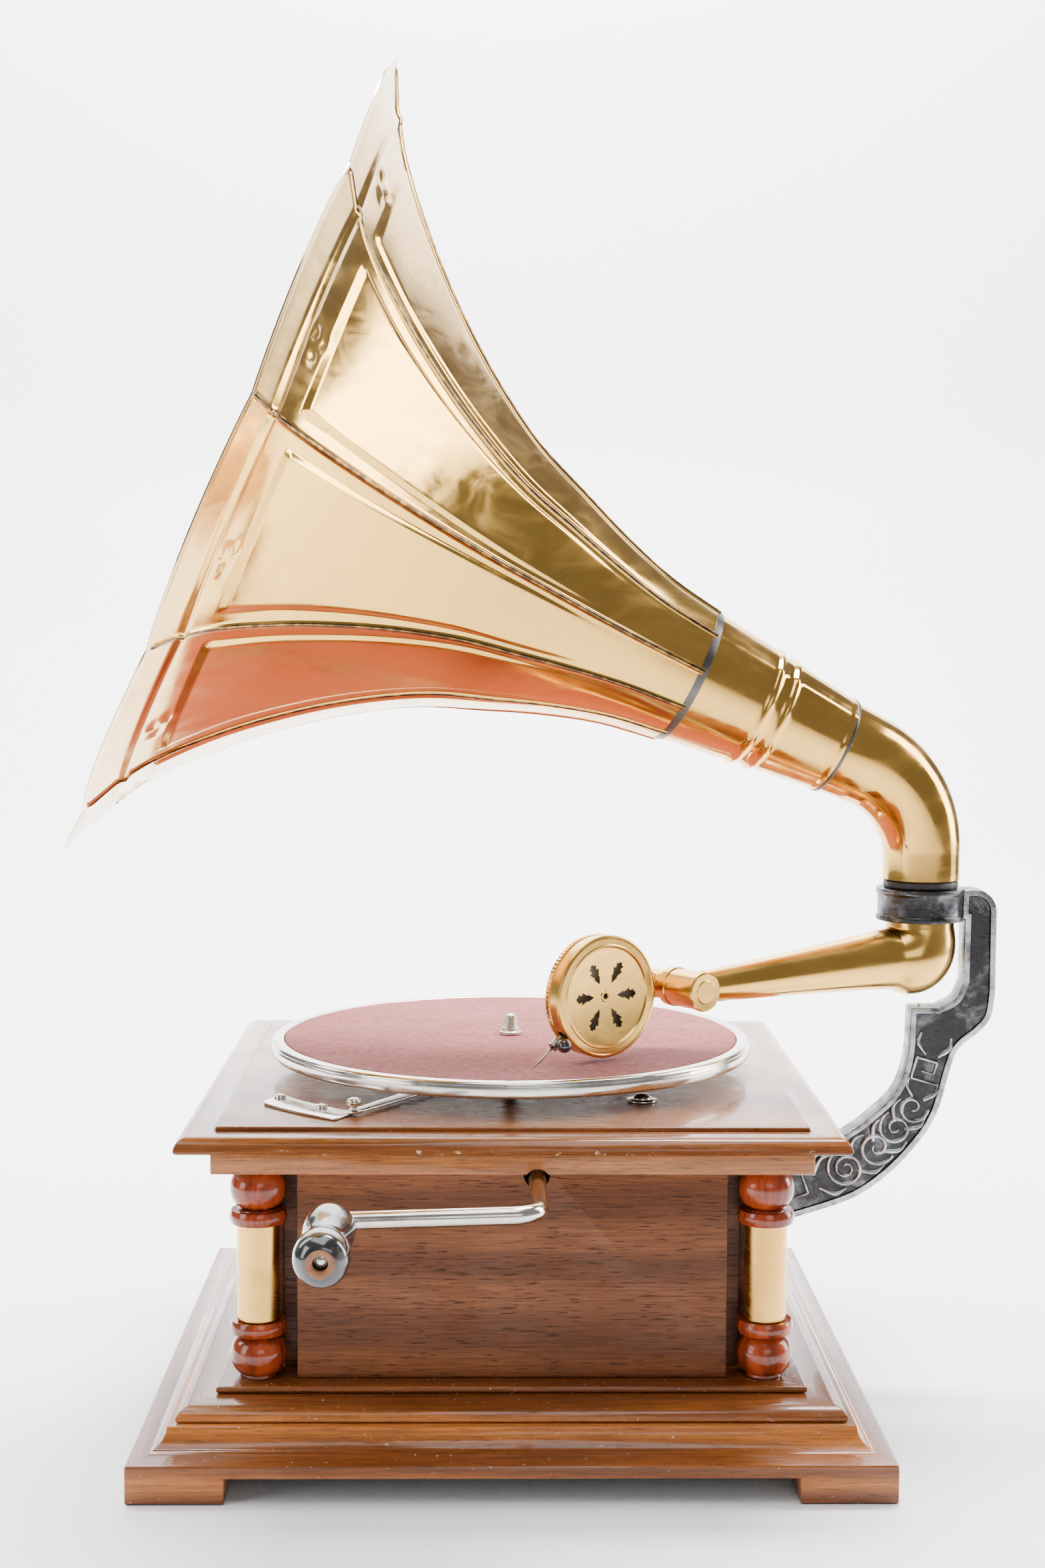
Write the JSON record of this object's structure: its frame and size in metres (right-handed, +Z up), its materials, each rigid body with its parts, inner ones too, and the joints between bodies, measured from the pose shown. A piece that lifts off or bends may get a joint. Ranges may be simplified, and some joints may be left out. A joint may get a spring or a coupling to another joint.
{
  "type": "wind up phonograph",
  "caption": "Wooden wind up phonograph with turned corner columns, felt turntable, side crank, swinging tonearm and a scalloped brass horn on a cast bracket",
  "frame": {"origin": "on the surface the feet stand on, under the middle of the bounding box", "axes": "+Z up along the turntable spindle; the crank is on the -Y side, the bracket on the +X side, and the horn opens towards -X"},
  "size_m": [0.4882, 0.444, 0.6855],
  "materials": {
    "polished_wood": "glossy brown varnished hardwood with straight grain",
    "panel_wood": "satin brown hardwood with dark open pores",
    "stained_wood": "glossy reddish brown turned wood",
    "column_brass": "plain brass tube",
    "motor_steel": "machined bright steel",
    "motor_brass": "machined brass",
    "nickel": "polished nickel plate",
    "felt": "dusty rose wool felt",
    "black_lacquer": "black gloss lacquer",
    "cast_iron": "dark gunmetal casting with a relief pattern",
    "needle_steel": "bright steel",
    "rubber": "black rubber",
    "horn_brass": "polished sheet brass",
    "arm_brass": "polished brass",
    "mica": "pale translucent sheet"
  },
  "bodies": {
    "case": {"plinth": "polished_wood", "plinth_moulding": "polished_wood", "bottom_board": "polished_wood", "carcass": "panel_wood", "front_panel": "panel_wood", "rear_panel": "panel_wood", "left_panel": "panel_wood", "right_panel": "panel_wood", "cornice": "polished_wood", "lid_frame": "polished_wood", "motor_board": "polished_wood", "column_front_left": "stained_wood", "column_front_right": "stained_wood", "column_rear_left": "stained_wood", "column_rear_right": "stained_wood", "column_sleeve_front_left": "column_brass", "column_sleeve_front_right": "column_brass", "column_sleeve_rear_left": "column_brass", "column_sleeve_rear_right": "column_brass", "motor_top_plate": "motor_steel", "motor_frame": "motor_steel", "motor_bolt_1": "motor_steel", "motor_bolt_2": "motor_steel", "motor_bolt_3": "motor_steel", "brake_plate": "nickel", "brake_screw": "nickel", "needle_cup": "nickel", "horn_bracket": "cast_iron", "pivot_screw": "needle_steel", "horn_gasket": "rubber"},
    "crank": {"crank_arm": "nickel", "winding_shaft": "motor_steel"},
    "handle": {"crank_handle": "black_lacquer"},
    "arbor": {"spring_arbor": "motor_steel"},
    "barrel": {"spring_barrel": "motor_brass", "barrel_cover": "motor_brass", "mainspring": "motor_steel"},
    "turntable": {"platter": "nickel", "platter_felt": "felt", "turntable_spindle": "motor_steel"},
    "transfer": {"transfer_wheel": "motor_steel"},
    "governor": {"governor_shaft": "motor_steel", "governor_weights": "motor_brass"},
    "speed": {"speed_lever": "motor_steel"},
    "brake": {"brake_lever": "nickel", "brake_knob": "nickel"},
    "tonearm_body": {"tonearm": "arm_brass", "crossbar": "arm_brass"},
    "soundbox": {"gooseneck": "arm_brass", "soundbox_case": "arm_brass", "soundbox_cover": "arm_brass", "diaphragm": "mica"},
    "stylus": {"needle_bar": "needle_steel", "needle": "needle_steel"},
    "thumb_screw": {"needle_screw": "black_lacquer"},
    "horn": {"horn_elbow": "horn_brass", "horn_neck": "horn_brass", "horn_bell": "horn_brass"}
  },
  "joints": [
    {"name": "crank_turn", "type": "hinge", "parent": "case", "child": "crank", "pos_m": [-0.00242, -0.155, 0.141], "axis": [0, 1, 0], "continuous": true},
    {"name": "handle_spin", "type": "hinge", "parent": "crank", "child": "handle", "pos_m": [-0.09537, -0.155, 0.13808], "axis": [0, 1, 0], "continuous": true},
    {"name": "arbor_turn", "type": "hinge", "parent": "case", "child": "arbor", "pos_m": [-0.00242, -0.01, 0.149], "axis": [0, 0, 1], "continuous": true},
    {"name": "platter_spin", "type": "hinge", "parent": "case", "child": "turntable", "pos_m": [-0.01392, 0.044, 0.1852], "axis": [0, 0, 1], "continuous": true},
    {"name": "barrel_spin", "type": "hinge", "parent": "case", "child": "barrel", "pos_m": [-0.00242, -0.01, 0.112], "axis": [0, 0, 1], "continuous": true},
    {"name": "transfer_spin", "type": "hinge", "parent": "case", "child": "transfer", "pos_m": [0.01523, 0.0347, 0.112], "axis": [0, 0, 1], "continuous": true},
    {"name": "governor_spin", "type": "hinge", "parent": "case", "child": "governor", "pos_m": [-0.01392, 0.0728, 0.112], "axis": [1, 0, 0], "continuous": true},
    {"name": "speed_lever_turn", "type": "hinge", "parent": "case", "child": "speed", "pos_m": [0.06008, 0.102, 0.112], "axis": [0, 0, 1], "range_deg": [0, 5]},
    {"name": "brake_turn", "type": "hinge", "parent": "case", "child": "brake", "pos_m": [-0.04382, -0.0024, 0.167], "axis": [0, 0, 1], "range_deg": [-8, 8]},
    {"name": "tonearm_swing", "type": "hinge", "parent": "case", "child": "tonearm_body", "pos_m": [0.20458, 0.044, 0.2478], "axis": [0, 0, 1], "range_deg": [-15, 60]},
    {"name": "soundbox_lift", "type": "hinge", "parent": "tonearm_body", "child": "soundbox", "pos_m": [0.07644, -0.00803, 0.2183], "axis": [-0.5807, 0.8141, 0], "range_deg": [0, 100]},
    {"name": "needle_rock", "type": "hinge", "parent": "soundbox", "child": "stylus", "pos_m": [0.0108, -0.04257, 0.19976], "axis": [0.4899, 0.3495, -0.7986], "range_deg": [-1.5, 1.5], "stiffness_Nm_per_rad": 0.05},
    {"name": "needle_screw_turn", "type": "hinge", "parent": "stylus", "child": "thumb_screw", "pos_m": [0.00768, -0.0448, 0.19687], "axis": [0.5807, -0.8141, 0], "continuous": true},
    {"name": "horn_swivel", "type": "hinge", "parent": "case", "child": "horn", "pos_m": [0.20458, 0.044, 0.2648], "axis": [0, 0, 1], "continuous": true}
  ],
  "couplings": [
    {"joint": "arbor_turn", "follows": "crank_turn", "ratio": -0.29167},
    {"joint": "transfer_spin", "follows": "platter_spin", "ratio": -0.27778},
    {"joint": "barrel_spin", "follows": "platter_spin", "ratio": 0.063131},
    {"joint": "governor_spin", "follows": "platter_spin", "ratio": 15}
  ]
}
